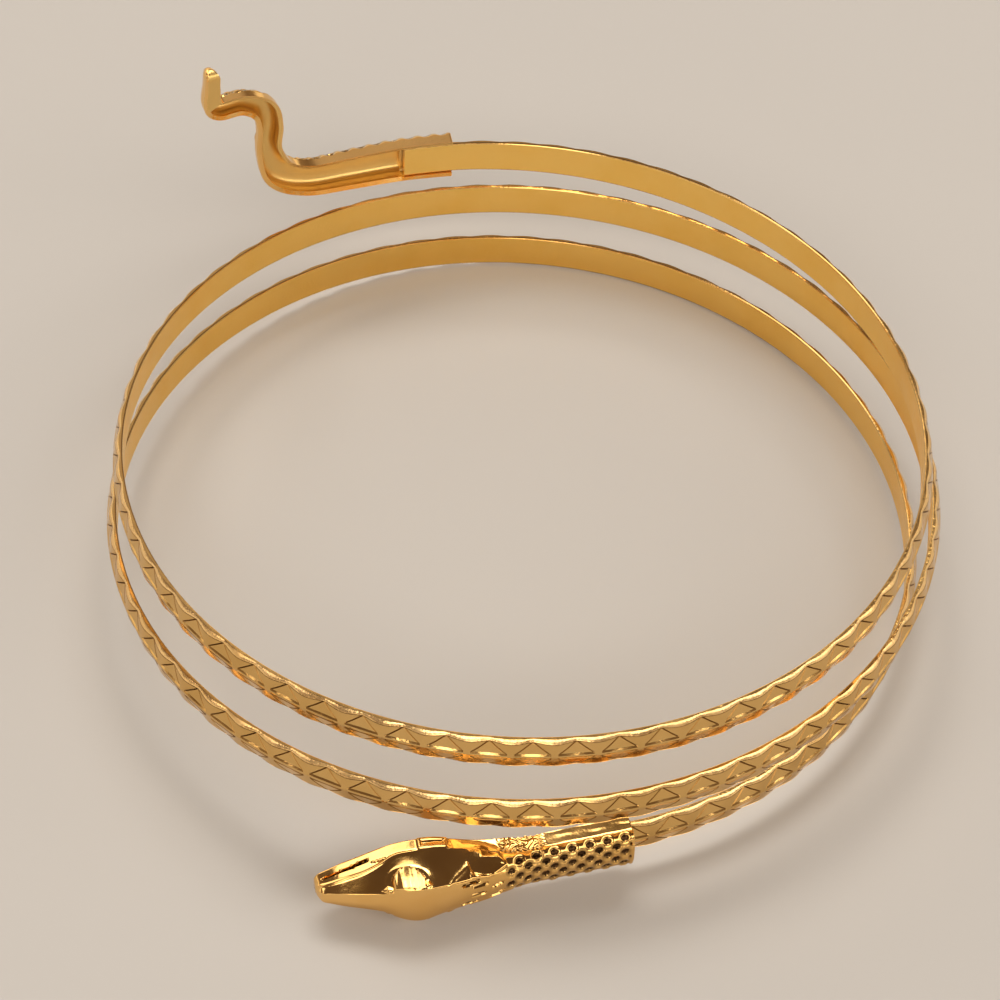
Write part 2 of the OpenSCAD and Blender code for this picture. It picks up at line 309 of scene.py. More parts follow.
def scallop_quarter():
    """A quarter of one scallop of the strip, flat: x along, -y out, z up from the crown line."""
    let_go()
    top = plate_top(0)
    bpy.ops.mesh.primitive_plane_add(size=1, location=(0, 0, 0), rotation=(math.pi / 2, 0, 0))
    piece = named("band")
    bpy.ops.transform.resize(value=(HALF_PITCH, 1, top))
    bpy.ops.transform.translate(value=(HALF_PITCH / 2, 0, top / 2))
    bpy.ops.object.transform_apply(location=True, rotation=True, scale=True)
    bpy.ops.object.mode_set(mode="EDIT")

    # cut the face: round the bend, along the engraved lines and across their corner
    along = Vector((TOP_X - CORNER_X, 0, TOP_AT - LINE_AT)).normalized()
    square = Vector((along.z, 0, -along.x))
    corner = Vector((CORNER_X, 0, LINE_AT))
    lines = [((k * HALF_PITCH / STATIONS, 0, 0), (1, 0, 0)) for k in range(1, STATIONS)]
    lines += [((0, 0, z), (0, 0, 1)) for z in (LINE_LOW, LINE_AT, LINE_TOP)]
    lines += [(corner + square * SLANT_HALF * k, square) for k in (-1, 0, 1)]
    outer = meet_point(corner + square * SLANT_HALF, along, LINE_LOW)
    inner = meet_point(corner - square * SLANT_HALF, along, LINE_TOP)
    for point, normal in lines:
        bpy.ops.mesh.select_all(action="SELECT")
        cut(point, normal)
    for end, low, high in ((outer, LINE_LOW, LINE_AT), (inner, LINE_AT, LINE_TOP)):
        mitre = (end - corner).normalized()
        pick(piece, "FACE", lambda c, n: abs(c.x - CORNER_X) < NEAR_CORNER and low < c.z < high)
        cut(corner, (mitre.z, 0, -mitre.x))

    # trim the top along the scallop, step by step
    step = HALF_PITCH / STATIONS
    for k in range(STATIONS):
        pick(piece, "FACE", lambda c, n: k * step < c.x < (k + 1) * step)
        fall = (plate_top((k + 1) * step) - plate_top(k * step)) / step
        cut((k * step, 0, plate_top(k * step)), (-fall, 0, 1))
    pick(piece, "FACE", lambda c, n: c.z > trimmed(c.x) + 1e-4)
    bpy.ops.mesh.delete(type="FACE")

    # sink the lines and raise the roof
    bpy.ops.mesh.select_all(action="SELECT")
    put(piece, lambda c: Vector((c.x, engraved(c.x, c.z) - roof_out(c.x, c.z), c.z)))

    # draw the top edge out: engraved foot line, scallop, rim, inner face
    pick(piece, "EDGE", lambda c: abs(c.z - trimmed(c.x)) < 2e-3)
    for row in range(EDGE_ROWS):
        bpy.ops.mesh.extrude_region_move()
        put(piece, lambda c: edge_row(row, c.x))

    # the steep walls of the lines get painted shade, the scallops a rougher finish with a painted highlight,
    # the inner face is satin with painted light
    for finish in (PLATED, SATIN_LIT, ENGRAVED_SHADE, STAMPED_HIGHLIT):
        piece.data.materials.append(finish)
    away = lambda c: abs((c.x - CORNER_X) * along.z - (c.z - LINE_AT) * along.x)
    on_plate = lambda c: c.y < -0.1 and c.z < trimmed(c.x)
    line_wall = lambda c, n: on_plate(c) and (LINE_AT < c.z < LINE_TOP and c.x < CORNER_X
                                              or away(c) < SLANT_HALF and c.z > LINE_AT)
    foot_line = lambda c, n: 0 < c.z - trimmed(c.x) < 0.045 and c.y < -0.1
    bevel = lambda c, n: c.z > trimmed(c.x) + 0.04 and 0.25 < n.z < 0.97 and -c.y > scalloped(RIM, c.x)
    for slot, test in ((1, lambda c, n: c.y > -1e-3), (2, line_wall), (3, bevel), (2, foot_line)):
        pick(piece, "FACE", test)
        piece.active_material_index = slot
        bpy.ops.object.material_slot_assign()
    bpy.ops.object.mode_set(mode="OBJECT")
    return piece


def plate_top(x):
    """Height of the roof plate's top edge, where the foot line starts."""
    return HALF_WIDE - scalloped(DROP, x) - FOOT_LINE


def trimmed(x):
    """The same edge as it is cut, straight from station to station."""
    step = HALF_PITCH / STATIONS
    k = min(int(x / step), STATIONS - 1)
    f = x / step - k
    return plate_top(k * step) * (1 - f) + plate_top((k + 1) * step) * f


def meet_point(point, along, z):
    return point + along * ((z - point.z) / along.z)


def edge_row(row, x):
    """Rows drawn out from the plate: the foot line, the rounded scallop, the rim and the inner face."""
    rim, foot, drop = scalloped(RIM, x), scalloped(FOOT, x), scalloped(DROP, x)
    start = Vector((foot - 0.012, drop - 0.012))
    end = Vector((rim + 0.012, 0.025))
    swell = Vector((start.y - end.y, start.x - end.x)).normalized() * (0.005 + 0.05 * drop)
    out, down = [
        (foot - 0.045, drop + 0.015),
        start,
        start.lerp(end, 0.33) + Vector((swell.x, -swell.y)) * 0.9,
        start.lerp(end, 0.67) + Vector((swell.x, -swell.y)) * 0.9,
        end,
        (rim - 0.02, 0),
        (0.15, 0),
        (0.045, 0.045),
        (0, 0.15),
        (0, HALF_WIDE),
    ][row]
    return Vector((x, -out, HALF_WIDE - down))


def make_band():
    piece = scallop_quarter()
    finish_with(piece, "MIRROR", use_axis=(True, False, True), merge_threshold=0.001)
    take(piece)
    bpy.ops.object.mode_set(mode="EDIT")
    bpy.ops.mesh.select_all(action="SELECT")
    bpy.ops.mesh.normals_make_consistent(inside=False)
    bpy.ops.object.mode_set(mode="OBJECT")
    route, length = strip_route()
    first = HEAD_SEAT + FIRST_CUSP
    first -= math.ceil(first / PITCH - 0.5) * PITCH
    bpy.ops.transform.translate(value=(first, 0, 0))
    bpy.ops.object.transform_apply(location=True, rotation=False, scale=False)
    count = math.ceil((length - first) / PITCH + 0.5)
    finish_with(piece, "ARRAY", count=count, use_relative_offset=False, use_constant_offset=True,
                constant_offset_displace=(PITCH, 0, 0), use_merge_vertices=True, merge_threshold=0.002)
    take(piece)
    bpy.ops.object.mode_set(mode="EDIT")
    for point, normal in (((0.02, 0, 0), (-1, 0, 0)), ((length - 0.02, 0, 0), (1, 0, 0))):
        bpy.ops.mesh.select_all(action="SELECT")
        cut(point, normal, clear=True, fill=True)
    bpy.ops.object.mode_set(mode="OBJECT")
    finish_with(piece, "CURVE", object=route, deform_axis="POS_X")
    take(piece)
    bpy.ops.object.shade_smooth_by_angle(angle=math.radians(21))
    lay_down(piece)
    bpy.data.objects.remove(route)
    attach(piece, "root")
    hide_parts("band")
    return piece


# Castings: sheets wrapped round a row of sections

def through(rows, x):
    """The smooth line through a table's rows, at row x."""
    last = len(rows) - 1
    i = min(int(x), last - 1)
    f = x - i
    a, b, c, d = (rows[min(max(i + k, 0), last)] for k in (-1, 0, 1, 2))
    return b + f / 2 * (c - a + f * (2 * a - 5 * b + 4 * c - d + f * (3 * (b - c) + d - a)))


def half_outline(n_top, n_side, n_crown):
    """Shares along half of a casting's outside: its top face, its sloping side and its crown."""
    return np.arange(n_top) / n_top, np.arange(n_side) / n_side, np.arange(n_crown) / n_crown


def outline(inner, lip, half, edge, edge_half, crown, swell, counts, round_chin=0.0, lean=0.0):
    """Out and up of a casting's outer points, from its upper inner corner over the crown to its lower one.
    The top face leans in towards the lip, and its inner corner can be rounded."""
    top, side, arch = half_outline(*counts)
    w = [inner + (lip - inner) * top]
    from_chin = (lip - inner) * top / max(round_chin, 1e-6)
    h = [half - lean * top - round_chin * np.clip(1 - from_chin, 0, 1) ** 2.2]
    half = half - lean
    swelled = np.sin(np.pi * side) * swell
    w.append(lip + (edge - lip) * side + swelled)
    h.append(half + (edge_half - half) * side + swelled)
    w.append(edge + (crown - edge) * np.sin(np.pi / 2 * arch))
    h.append(edge_half * np.cos(np.pi / 2 * arch))
    w, h = np.concatenate(w), np.concatenate(h)
    return np.concatenate([w, [crown], w[::-1]]), np.concatenate([h, [0], -h[::-1]])


def seat(inner, floor, half, count, round_hollow=0.0):
    """Out and up of the points of the open seat or hollow, from the lower inner edge to the upper one."""
    wall, bottom = count // 4, count - 2 * (count // 4)
    f = np.arange(1, wall + 1) / wall
    g = (np.arange(1, bottom + 1) - 0.5) / bottom * 2 - 1
    w = np.concatenate([inner + (floor - inner) * (f - 0.5 / wall), np.full(bottom, floor),
                        inner + (floor - inner) * (f[::-1] - 0.5 / wall)])
    h = np.concatenate([np.full(wall, -half), g * half, np.full(wall, half)])
    # a hollow opens out at its lips and is rounded along its floor
    flare = FLARE * np.clip(1 - 3.5 * (w - inner) / (floor - inner), 0, 1) ** 2
    w = w - round_hollow * np.abs(h / half) ** 3 * (w > inner + 0.6 * (floor - inner))
    return w, h + np.sign(h) * flare * (round_hollow > 0)


def smooth(x):
    """An even step from 0 to 1."""
    x = np.clip(x, 0, 1)
    return x * x * (3 - 2 * x)


def ridge(near, wide):
    """A rounded ridge along where near is 0."""
    return np.exp(-(near / wide) ** 2)


def distance_round(w, h, middle):
    """Distance of each ring's outer points from the middle of its crown."""
    step = np.hypot(np.diff(w, axis=1), np.diff(h, axis=1))
    s = np.concatenate([np.zeros((len(w), 1)), np.cumsum(step, 1)], 1)
    return s[:, middle:middle + 1] - s


def along_line(u, v, stops):
    """Distance of points from a line through stops."""
    best = np.full(np.shape(u), 1e9)
    for (a, b), (c, d) in zip(stops, stops[1:]):
        f = np.clip(((u - a) * (c - a) + (v - b) * (d - b)) / ((c - a) ** 2 + (d - b) ** 2), 0, 1)
        best = np.minimum(best, np.hypot(u - a - f * (c - a), v - b - f * (d - b)))
    return best


def honeycomb(u, s, first, last, rows, fade):
    """Relief of the honeycomb: bowls that touch each other, each with a steep round pit in its middle. Also
    the painted shade in the bowls, darkest in the pits.
    """
    relief, dark = np.zeros(np.shape(u)), np.zeros(np.shape(u))
    for row in range(-rows, rows):
        start = first if row % 2 == 0 else first - CELL / 2
        centre = start + np.clip(np.rint((u - start) / CELL), 0, int((last - start) / CELL)) * CELL
        near = np.hypot(u - centre, s - (row + 0.5) * CELL_ROW)
        pit = smooth((PIT - near) / PIT_WALL) * fade
        bowl = smooth((BOWL - near) / BOWL_RIM) * fade
        relief -= BOWL_DEEP * bowl + PIT_DEEP * pit
        dark += pit + BOWL_SHADE * bowl
    return relief, np.clip(dark * 1.6 - 0.2, 0, 1)


def wrapped(name, points, **shades):
    """A closed sheet: a grid wrapped round the piece, each of its rows a ring of points, its ends filled. The
    shades say how much painted shade a point gets and how far it lies in a hollow."""
    rings, count = points.shape[:2]
    let_go()
    bpy.ops.mesh.primitive_grid_add(x_subdivisions=count, y_subdivisions=rings - 1, size=2)
    piece = named(name)
    mesh = piece.data
    flat = np.empty(len(mesh.vertices) * 3)
    mesh.vertices.foreach_get("co", flat)
    flat = flat.reshape(-1, 3)
    across = np.rint((flat[:, 0] + 1) / 2 * count).astype(int) % count
    ring = np.rint((flat[:, 1] + 1) / 2 * (rings - 1)).astype(int)
    mesh.vertices.foreach_set("co", points[ring, across].ravel())
    for kind, shade in shades.items():
        values = shade[ring, across].astype(np.float32)
        mesh.attributes.new(kind, "FLOAT", "POINT").data.foreach_set("value", values)
    mesh.update()
    take(piece)
    bpy.ops.object.mode_set(mode="EDIT")
    bpy.ops.mesh.select_all(action="SELECT")
    bpy.ops.mesh.remove_doubles(threshold=1e-4)
    for end in (points[0], points[-1]):
        low, high = end.min(0) - 1e-3, end.max(0) + 1e-3
        bpy.ops.mesh.select_mode(type="EDGE")
        bpy.ops.mesh.select_all(action="DESELECT")
        bpy.ops.mesh.select_non_manifold()
        keep_near(piece, low, high)
        bpy.ops.mesh.fill(use_beauty=True)
    bpy.ops.mesh.select_all(action="SELECT")
    bpy.ops.mesh.normals_make_consistent(inside=False)
    bpy.ops.object.mode_set(mode="OBJECT")
    return piece


def keep_near(piece, low, high):
    """Keeps only the selected edges that lie in a box."""
    bpy.ops.object.mode_set(mode="OBJECT")
    mesh = piece.data
    inside = lambda c: all(low[k] <= c[k] <= high[k] for k in range(3))
    for e in mesh.edges:
        e.select = e.select and all(inside(mesh.vertices[i].co) for i in e.vertices)
    for v in mesh.vertices:
        v.select = False
    for e in mesh.edges:
        if e.select:
            for i in e.vertices:
                mesh.vertices[i].select = True
    bpy.ops.object.mode_set(mode="EDIT")


def cast_and_lay(piece):
    """Gives a casting its metal and smooth shading, and lays it on the table."""
    piece.data.materials.append(CAST)
    take(piece)
    bpy.ops.object.shade_smooth_by_angle(angle=math.radians(50))
    lay_down(piece)


def square_to(points):
    """Directions square to a grid of points that is closed one way."""
    along = np.gradient(points, axis=0)
    round_it = np.roll(points, -1, axis=1) - np.roll(points, 1, axis=1)
    n = np.cross(along, round_it)
    return n / np.maximum(np.linalg.norm(n, axis=2, keepdims=True), 1e-9)


# The head

CELL, CELL_ROW, FIRST_CELL = 1.66, 0.84, 0.9   # spacing of the honeycomb, along and round, and its start
BOWL, BOWL_RIM, BOWL_DEEP, BOWL_SHADE = 0.66, 0.18, 0.10, 0.36
PIT, PIT_WALL, PIT_DEEP = 0.40, 0.14, 0.22
SEAT_HALF, SEAT_FLOOR, INNER = 1.86, 1.06, -0.25
END_CHAMFERS = 0.1, 0.03                       # at a casting's first and second ring
FLARE = 0.12                                   # how far a hollow opens out at its lips
# Points along half of a ring's outside (its top face, its sloping side and its crown) and along its seat
HEAD_COUNTS, HEAD_HOLLOW = (24, 36, 18), 20

# Rows: along, chin, lip, half width of the jaw, crown edge, half width of the crown, crown, swell
HEAD = np.array([
    [0.0, -0.25, 1.25, 2.25, 2.30, 1.22, 2.44, 0.22],
    [4.0, -0.25, 1.25, 2.25, 2.30, 1.22, 2.44, 0.22],
    [8.0, -0.25, 1.25, 2.25, 2.30, 1.22, 2.44, 0.22],
    [9.3, -0.25, 1.25, 2.25, 2.30, 1.22, 2.45, 0.20],
    [10.8, -0.40, 1.20, 2.30, 2.45, 1.30, 2.70, 0.18],
    [13.0, -0.65, 0.80, 2.55, 2.65, 1.55, 2.95, 0.12],
    [14.9, -0.90, 0.10, 2.90, 2.72, 1.80, 3.15, 0.05],
    [16.8, -1.20, 0.00, 3.30, 2.95, 1.90, 3.35, 0.02],
    [18.5, -1.55, -0.30, 3.50, 3.15, 2.00, 3.45, 0.00],
    [20.2, -1.80, -0.50, 3.40, 3.22, 2.00, 3.38, 0.00],
    [21.9, -2.00, -0.70, 3.10, 2.80, 1.80, 2.98, 0.00],
    [23.4, -2.00, -0.25, 2.75, 2.20, 1.30, 2.38, 0.00],
    [24.9, -1.92, 0.00, 2.40, 1.65, 1.10, 1.82, 0.00],
    [26.6, -1.85, -0.05, 2.00, 1.05, 0.93, 1.22, 0.00],
    [27.9, -1.82, -0.20, 1.52, 0.55, 0.74, 0.65, 0.00],
    [28.7, -1.85, -0.45, 1.15, 0.20, 0.60, 0.30, 0.00],
    [29.1, -1.80, -0.95, 0.70, -0.55, 0.35, -0.50, 0.00],
])
HEAD_END, COMB_END = 29.08, 12.3
TOP_LEAN, ROUND_CHIN = 0.22, 0.25
CHEEK, CHEEK_REACH, CHEEK_RISE = (20.7, 2.75, 1.95), 3.0, 0.27

# The eye stands on the crown edge: where along, its half width, its height up the side and its slope
EYE_AT, EYE_HALF, EYE_HIGH, EYE_SLOPE = 21.2, 1.45, 2.15, 0.50
EYE_UPRIGHT, EYE_ARCH = 0.45, 0.55             # shares of its height below its arch and in it
EYE_LIFT, EYE_TILT, EYE_BULGE = 0.10, 0.18, 0.03
LOWER_EYE = 0.15                               # the eye towards the table stands out less
FACET, FACET_DEEP = 0.72, 0.012
# Round the eye, where 1 is its rim: place, width and height of its groove and of the arc outside it
GROOVE, ARC = (1.04, 0.05, 0.06), (1.30, 0.05, 0.02)
# Its corners: where along, length, height
CORNERS, CORNER_RISE = [(23.1, 0.75, 0.55), (19.55, 0.5, 0.7)], 0.16

# Long pits of the neck: both ends, along and up, half their width
SLOTS = [
    (16.35, 1.28, 14.95, 1.42, 0.15),
    (15.40, 0.88, 14.10, 0.84, 0.12),
    (15.45, -0.31, 14.30, -0.33, 0.14),
    (13.50, 0.14, 12.60, 0.45, 0.13),
    (12.85, -0.88, 12.45, -0.80, 0.10),
    (16.30, -1.30, 15.00, -1.45, 0.15),
    (13.60, -1.30, 12.80, -1.20, 0.12),
]
# Raised lines of the neck, along and up, on both sides
VEINS = [
    [(14.2, 2.34), (12.66, 2.2), (12.15, 1.9), (12.99, 1.7), (14.0, 1.56), (15.5, 1.9)],
    [(17.7, 1.84), (16.96, 2.07), (15.68, 2.27), (15.5, 1.9)],
]
SLOT_DEEP, VEIN_RISE = 0.3, 0.09

# On the head's top face, along and out: the mouth's two slits and the frame behind them
MOUTH = [(28.5, -1.00), (27.2, -0.88), (25.9, -0.92), (24.4, -1.10)]
SMALL_SLIT = [(23.95, -0.7), (22.75, -0.66)]
FRAME_LINE = [(19.5, -1.5), (17.05, -1.08), (17.3, -0.4), (19.55, -0.72), (19.5, -1.5)]
MOUTH_DEEP, SMALL_DEEP, LIP_RISE, FRAME_RISE = 0.4, 0.15, 0.06, 0.13
# The flange over the strip's end: where it ends, how much painted shade darkens it, and the sparkling rough
# patch behind it
FLANGE_END, FLANGE_SHADE, STREAK_RISE = 8.3, 0.3, 0.008
SPARKLE_FROM, SPARKLE_TO, SPARKLE_RISE = 8, 12.6, 0.07


def head_places():
    """How far along the head its rings stand: close together, and in a step at the end of the seat."""
    return np.concatenate([
        [0, 0.04],
        np.arange(0.11, HEAD_SEAT + 0.03, 0.07),
        [HEAD_SEAT + 0.06, HEAD_SEAT + 0.07],
        np.arange(HEAD_SEAT + 0.14, 12.9, 0.07),
        np.arange(13, HEAD_END, 0.085),
        [HEAD_END],
    ])


def head_rings(places):
    """Out and up of the points of each ring of the head."""
    fine = np.array([through(HEAD, x) for x in np.linspace(0, len(HEAD) - 1, 1400)])
    ws, hs = [], []
    for u in places:
        sizes = (np.interp(u, fine[:, 0], fine[:, k]) for k in range(1, 8))
        chin, lip, half, edge, edge_half, crown, swell = sizes
        chamfer = END_CHAMFERS[0] if u == 0 else END_CHAMFERS[1] if u == places[1] else 0
        lip, half, edge, crown = lip - chamfer, half - chamfer, edge - chamfer, crown - chamfer
        lean = TOP_LEAN * float(smooth((u - HEAD_SEAT) / 0.4)) * (1 + 0.3 * float(smooth((u - 17) / 4)))
        round_chin = ROUND_CHIN * float(smooth((u - 11) / 4))
        w, h = outline(chin, lip, half, edge, edge_half, crown, swell, HEAD_COUNTS, round_chin, lean)
        if u < HEAD_SEAT + 0.065:
            sw, sh = seat(INNER, SEAT_FLOOR, SEAT_HALF, HEAD_HOLLOW)
        else:
            inner_half = abs(h[0]) - 0.1
            sw, sh = np.full(HEAD_HOLLOW, chin), np.linspace(-inner_half, inner_half, HEAD_HOLLOW)
        ws.append(np.concatenate([w, sw]))
        hs.append(np.concatenate([h, sh]))
    return np.array(ws), np.array(hs)


def swell_head(u, w, h, s):
    """Swells the cheeks and raises the eyes, almonds that lean out towards their tops. Returns each point's
    place round the eye, where 1 is its rim, and its height above the crown edge."""
    lip, edge = HEAD_COUNTS[0], HEAD_COUNTS[0] + HEAD_COUNTS[1]
    flat = np.stack([h[:, lip] - h[:, edge], w[:, edge] - w[:, lip]], 1)
    flat /= np.linalg.norm(flat, axis=1, keepdims=True)
    du, dw, dh = u - CHEEK[0], w - CHEEK[1], np.abs(h) - CHEEK[2]
    rise = dw * flat[:, :1] + dh * flat[:, 1:]
    off = np.sqrt(np.maximum(du ** 2 + dw ** 2 + dh ** 2 - rise ** 2, 0))
    lift = np.where(off < CHEEK_REACH, CHEEK_RISE * (1 + np.cos(np.pi * off / CHEEK_REACH)) / 2, 0)
    high = np.abs(s) - s[:, edge][:, None]
    across = (u - EYE_AT) / EYE_HALF
    rim = np.hypot(across, np.maximum(high - EYE_UPRIGHT * EYE_HIGH, 0) / (EYE_ARCH * EYE_HIGH))
    in_eye = smooth((1 - rim) / 0.10) * smooth((high + 0.05) / 0.2)
    facets = FACET_DEEP * np.cos(2 * np.pi * across * EYE_HALF / FACET + 0.6)
    up = np.sign(h)
    lift += in_eye * (EYE_LIFT + EYE_SLOPE * np.maximum(high, 0) + facets
                      + EYE_TILT * across - EYE_BULGE * across ** 2 - LOWER_EYE * (up < 0))
    w += lift * flat[:, :1]
    h += up * lift * flat[:, 1:]
    return rim, high


def head_relief(u, w, h, s, rim, high):
    """The head's fine relief, and how much painted shade each point gets in its recesses and on the flange.
    """
    part = np.abs(np.arange(u.shape[1]) - sum(HEAD_COUNTS))
    crown, side = HEAD_COUNTS[2], HEAD_COUNTS[2] + HEAD_COUNTS[1]
    on_top, on_side = part > side, (part > crown) & (part <= side)
    lip_s = s[:, HEAD_COUNTS[0]][:, None]

    # the collar's honeycomb, painted shade on the flange, the slots of the neck with painted shade in them
    # and its raised lines
    near_lip = smooth((lip_s - np.abs(s)) / 0.25 + 0.1) * ~on_top
    relief, pits = honeycomb(u, s, FIRST_CELL, COMB_END, 3, near_lip * smooth((u - 0.25) / 0.15))
    recess = pits + FLANGE_SHADE * on_top * smooth((FLANGE_END - u) / 0.5)
    for a, b, c, d, wide in SLOTS:
        near = along_line(u, h, [(a, b), (c, d)])
        slot = smooth((wide + 0.06 - near) / 0.12) * (part < side - 2)
        relief -= SLOT_DEEP * slot
        recess += 0.9 * slot
    for line in VEINS:
        relief += VEIN_RISE * ridge(along_line(u, np.abs(h), line), 0.12) * ~on_top

    # the mouth: two slits with painted shade in them, lips along them, a frame behind them and a rough neck
    wide_slit = 0.10 + 0.03 * (28.6 - u) - along_line(u, w, MOUTH)
    small_slit = 0.09 - along_line(u, w, SMALL_SLIT)
    for slit, deep in ((wide_slit, MOUTH_DEEP), (small_slit, SMALL_DEEP)):
        slit = smooth(slit / 0.09) * on_top
        relief -= deep * slit
        recess += slit
    relief += LIP_RISE * ridge(np.abs(np.abs(s) - lip_s), 0.14) * smooth((u - 19) / 2)
    relief += FRAME_RISE * ridge(along_line(u, w, FRAME_LINE), 0.16) * on_top
    sparkle = np.sin(u * 5.6 + 2 * np.sin(w * 5)) * np.sin(w * 6.8 + 3 * np.sin(u * 3))
    sparkle = SPARKLE_RISE * sparkle * on_top
    relief += sparkle * smooth((u - SPARKLE_FROM) / 0.5) * smooth((SPARKLE_TO - u) / 0.5)
    streaks = np.sin(w * 6.5 + 0.7 * np.sin(u * 1.3)) * (0.6 + 0.4 * np.sin(u * 2.1 + w * 2))
    relief += STREAK_RISE * streaks * on_top * smooth((FLANGE_END - u) / 0.5)

    # the eyes: a groove round each, a fine raised arc outside it and a corner at each end
    relief -= GROOVE[2] * ridge(rim - GROOVE[0], GROOVE[1]) * on_side * (high > 0.2)
    relief += ARC[2] * ridge(rim - ARC[0], ARC[1]) * on_side * (high > 0.9)
    for at, size, tall in CORNERS:
        near = np.abs(u - at) / size + np.abs(high - 0.25) / tall
        relief += CORNER_RISE * smooth(1 - near) * on_side
    return relief, recess


def make_head():
    places = head_places()
    w, h = head_rings(places)
    u = np.repeat(places[:, None], w.shape[1], 1)
    outer = 2 * sum(HEAD_COUNTS) + 1
    outside = u[:, :outer], w[:, :outer], h[:, :outer]
    s = distance_round(outside[1], outside[2], sum(HEAD_COUNTS))
    rim, high = swell_head(*outside, s)
    points = np.stack([u, w, h], 2)
    relief, recess = np.zeros(w.shape), np.zeros(w.shape)
    relief[:, :outer], recess[:, :outer] = head_relief(*outside, s, rim, high)
    points += relief[:, :, None] * square_to(points)
    laid = np.array([[in_head(*p) for p in ring] for ring in points])
    piece = wrapped("head", laid, recess=np.clip(recess, 0, 1))
    cast_and_lay(piece)
    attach(piece, "root")
    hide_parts("head")
    return piece


# The tail

# Its middle line. Rows: along the bent sheet, height, width, depth
TAIL = np.array([
    [-5.0, 0.0, 4.5, 2.35],
    [0.6, 0.0, 4.5, 2.35],
    [6.0, 0.0, 4.4, 2.30],
    [11.3, -0.2, 4.2, 2.20],
    [15.6, -0.1, 3.9, 2.10],
    [18.7, 1.5, 3.5, 2.05],
    [19.9, 4.8, 2.6, 2.00],
    [19.8, 7.9, 2.6, 2.00],
    [20.4, 10.3, 2.7, 1.90],
    [22.5, 11.7, 2.4, 1.85],
    [25.0, 11.8, 2.3, 1.80],
    [25.9, 12.7, 1.85, 1.80],
    [25.9, 14.6, 1.5, 1.70],
    [25.85, 16.0, 1.45, 1.60],
    [25.8, 17.0, 1.4, 1.50],
    [25.7, 18.0, 1.3, 1.40],
])
TAIL_COUNTS, TAIL_HOLLOW = (16, 16, 12), 24
TIP_ROW, HOLLOW_END = len(TAIL) - 2.31, 10.75   # rows of the table where the tail and its hollow end
TAIL_WALL, TIP_ROUND, NICK, NARROW_FROM = 0.5, 0.8, 0.26, 21.0
BEAD_RISE, BEAD_AT = 0.09, 0.20                 # raised line along the lower lip's inner edge


def tail_rings():
    """For each point of the tail's rings its distance along the middle line, out, up from that line, along
    the sheet and height. Also where the hollow ends."""
    xs = np.linspace(1, TIP_ROW, 1500)
    line = np.array([through(TAIL, x) for x in xs])
    length = np.concatenate([[0], np.cumsum(np.hypot(np.diff(line[:, 0]), np.diff(line[:, 1])))])
    seat_end = np.interp(TAIL_SEAT + 0.3, line[:, 0], length)
    hollow_end = np.interp(HOLLOW_END, xs, length)
    extra = [length[-1], seat_end, seat_end + 0.01, hollow_end, hollow_end + 0.01, 0.04]
    stops = np.sort(np.concatenate([np.arange(0, length[-1], 0.12), extra]))
    rings = []
    for at in stops:
        x = float(np.interp(at, length, xs))
        along, height, width, depth = through(TAIL, x)
        d = (through(TAIL, x + 0.5) - through(TAIL, x - 0.5))[:2]
        d = d / np.linalg.norm(d)
        half = width / 2
        chamfer = END_CHAMFERS[0] if at == 0 else END_CHAMFERS[1] if at == stops[1] else 0
        left = min((length[-1] - at) / TIP_ROUND, 1)
        closing = max(0.15, math.sqrt(1 - (1 - left) ** 2))
        edge, crown = depth - 0.12 - chamfer, depth + 0.06 - chamfer
        swell = 0.15 * half / 2.25
        w, h = outline(INNER, depth - 1.1, half - chamfer, edge, half / 2, crown, swell, TAIL_COUNTS)
        if at <= seat_end + 0.001:
            sw, sh = seat(INNER, SEAT_FLOOR, SEAT_HALF, TAIL_HOLLOW)
        elif at <= hollow_end + 0.001:
            sw, sh = seat(INNER, depth - TAIL_WALL, half - TAIL_WALL, TAIL_HOLLOW, 0.45)
        else:
            sw, sh = np.full(TAIL_HOLLOW, INNER), np.linspace(-half * 0.8, half * 0.8, TAIL_HOLLOW)
        w, h = np.concatenate([w, sw]), np.concatenate([h, sh])
        mid_w = (INNER + depth) / 2
        w, h = mid_w + (w - mid_w) * closing, h * closing
        rings.append(np.stack([np.full(len(w), at), w, h, along - d[1] * h, height + d[0] * h], 1))
    return np.array(rings), hollow_end


def lip_nicks(at, outer, hollow_end):
    """How deep the honeycomb's bowls nick the outer edges of the lips."""
    nick = NICK * (0.5 + 0.5 * np.cos(2 * np.pi * (at - FIRST_CELL) / CELL)) ** 0.7
    nick = nick * smooth((hollow_end - 0.2 - at) / 0.6) * smooth((at - 0.3) / 0.3)
    reach = np.abs(np.arange(outer) - sum(TAIL_COUNTS)) - TAIL_COUNTS[2] - TAIL_COUNTS[1]
    spread = 3.0 + 7.0 * smooth((at - NARROW_FROM) / 3)
    return nick * ridge(np.minimum(reach, 0), spread) * ridge(np.maximum(reach, 0), 1.5)


